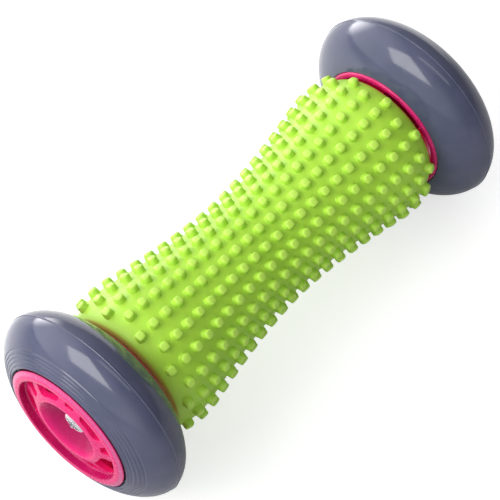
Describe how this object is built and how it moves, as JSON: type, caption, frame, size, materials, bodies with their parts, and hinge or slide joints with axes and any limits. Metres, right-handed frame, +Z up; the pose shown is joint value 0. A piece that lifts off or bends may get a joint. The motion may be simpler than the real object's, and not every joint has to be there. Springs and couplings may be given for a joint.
{
  "type": "foot massage roller",
  "caption": "Hourglass massage drum with a nubbed soft sleeve, turning between two wheels on one axle, rolled underfoot.",
  "frame": {"origin": "middle of the axle, which is the centre of the whole roller", "axes": "+X along the axle towards the right wheel, +Z up"},
  "size_m": [0.1978, 0.08, 0.08],
  "materials": {
    "axle_steel": "ground steel",
    "zinc_plate": "bright zinc plate",
    "lime_rubber": "soft satin moulded rubber",
    "green_plastic": "moulded, hidden under the sleeve",
    "white_acetal": "smooth bearing plastic",
    "grey_polyurethane": "glossy moulded polyurethane",
    "pink_plastic": "glossy moulded plastic"
  },
  "bodies": {
    "axle": {"axle_rod": "axle_steel", "left_spacer_washer": "axle_steel", "right_spacer_washer": "axle_steel", "left_washer": "zinc_plate", "right_washer": "zinc_plate", "left_screw": "zinc_plate", "right_screw": "zinc_plate"},
    "drum": {"drum_sleeve": "lime_rubber", "core_shell_front": "green_plastic", "core_shell_rear": "green_plastic", "left_end_cap": "pink_plastic", "right_end_cap": "pink_plastic", "left_drum_bush": "white_acetal", "right_drum_bush": "white_acetal"},
    "left_wheel": {"left_tyre": "grey_polyurethane", "left_hub": "pink_plastic", "left_inner_bush": "white_acetal", "left_outer_bush": "white_acetal"},
    "right_wheel": {"right_tyre": "grey_polyurethane", "right_hub": "pink_plastic", "right_inner_bush": "white_acetal", "right_outer_bush": "white_acetal"}
  },
  "joints": [
    {"name": "drum_spin", "type": "hinge", "parent": "axle", "child": "drum", "pos_m": [0, 0, 0], "axis": [1, 0, 0], "continuous": true},
    {"name": "left_wheel_spin", "type": "hinge", "parent": "axle", "child": "left_wheel", "pos_m": [-0.0848, 0, 0], "axis": [1, 0, 0], "continuous": true},
    {"name": "right_wheel_spin", "type": "hinge", "parent": "axle", "child": "right_wheel", "pos_m": [0.0848, 0, 0], "axis": [1, 0, 0], "continuous": true}
  ]
}
